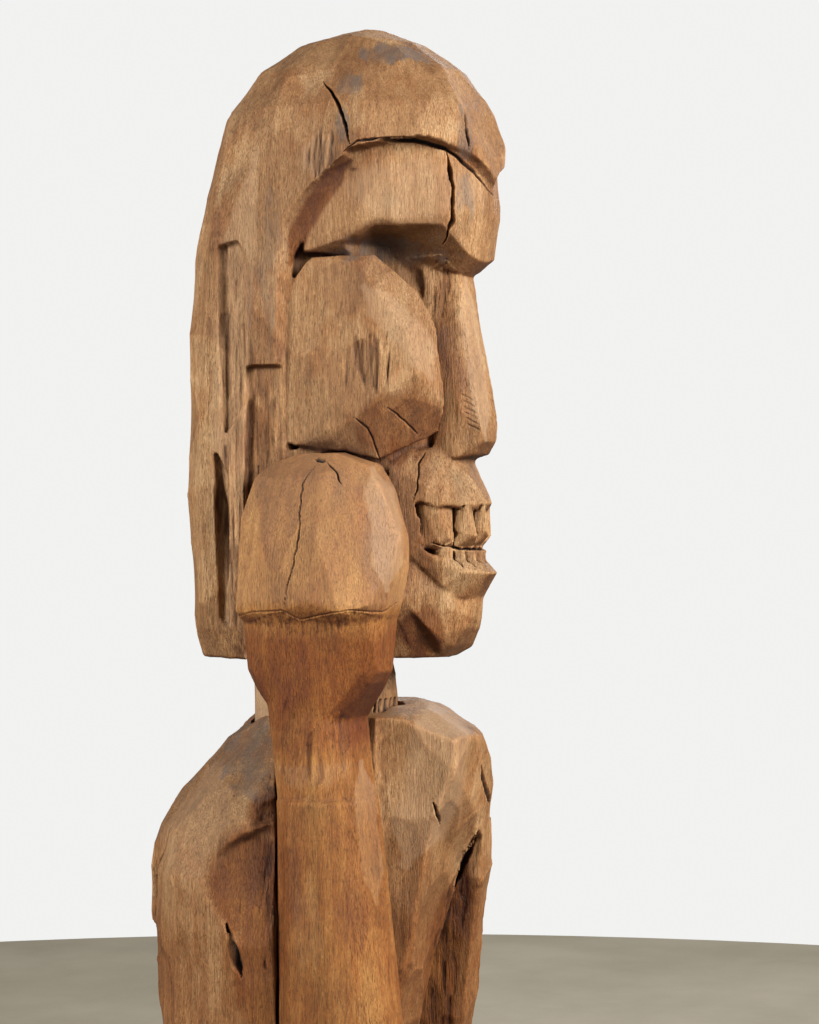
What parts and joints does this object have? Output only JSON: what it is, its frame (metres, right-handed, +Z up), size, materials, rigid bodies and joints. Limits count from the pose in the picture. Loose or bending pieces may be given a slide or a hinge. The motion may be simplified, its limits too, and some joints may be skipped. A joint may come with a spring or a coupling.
{
  "type": "carved tiki figure",
  "caption": "Standing carved wood figure with a long capped head, toothed grin and one hand raised to the jaw, on a square base.",
  "frame": {"origin": "centre of the base's underside, on the floor", "axes": "+Z up; the figure faces -Y; its raised right hand is on the -X side"},
  "size_m": [0.34, 0.34, 1.196],
  "materials": {
    "carved_wood": "adzed and weathered, unfinished",
    "forearm_wood": "adzed and weathered, unfinished",
    "base_wood": "sawn and weathered, unfinished",
    "dowel_wood": "turned, unfinished",
    "zinc_steel": "zinc plated"
  },
  "bodies": {
    "root": {"head_block": "carved_wood", "body_block": "carved_wood", "raised_forearm": "forearm_wood", "base_block": "base_wood", "neck_dowel_front": "dowel_wood", "neck_dowel_rear": "dowel_wood", "elbow_dowel_front": "dowel_wood", "elbow_dowel_rear": "dowel_wood", "hand_dowel": "dowel_wood", "lag_screw_right_front": "zinc_steel", "lag_screw_right_rear": "zinc_steel", "lag_screw_left_front": "zinc_steel", "lag_screw_left_rear": "zinc_steel", "washer_right_front": "zinc_steel", "washer_right_rear": "zinc_steel", "washer_left_front": "zinc_steel", "washer_left_rear": "zinc_steel"}
  },
  "joints": []
}
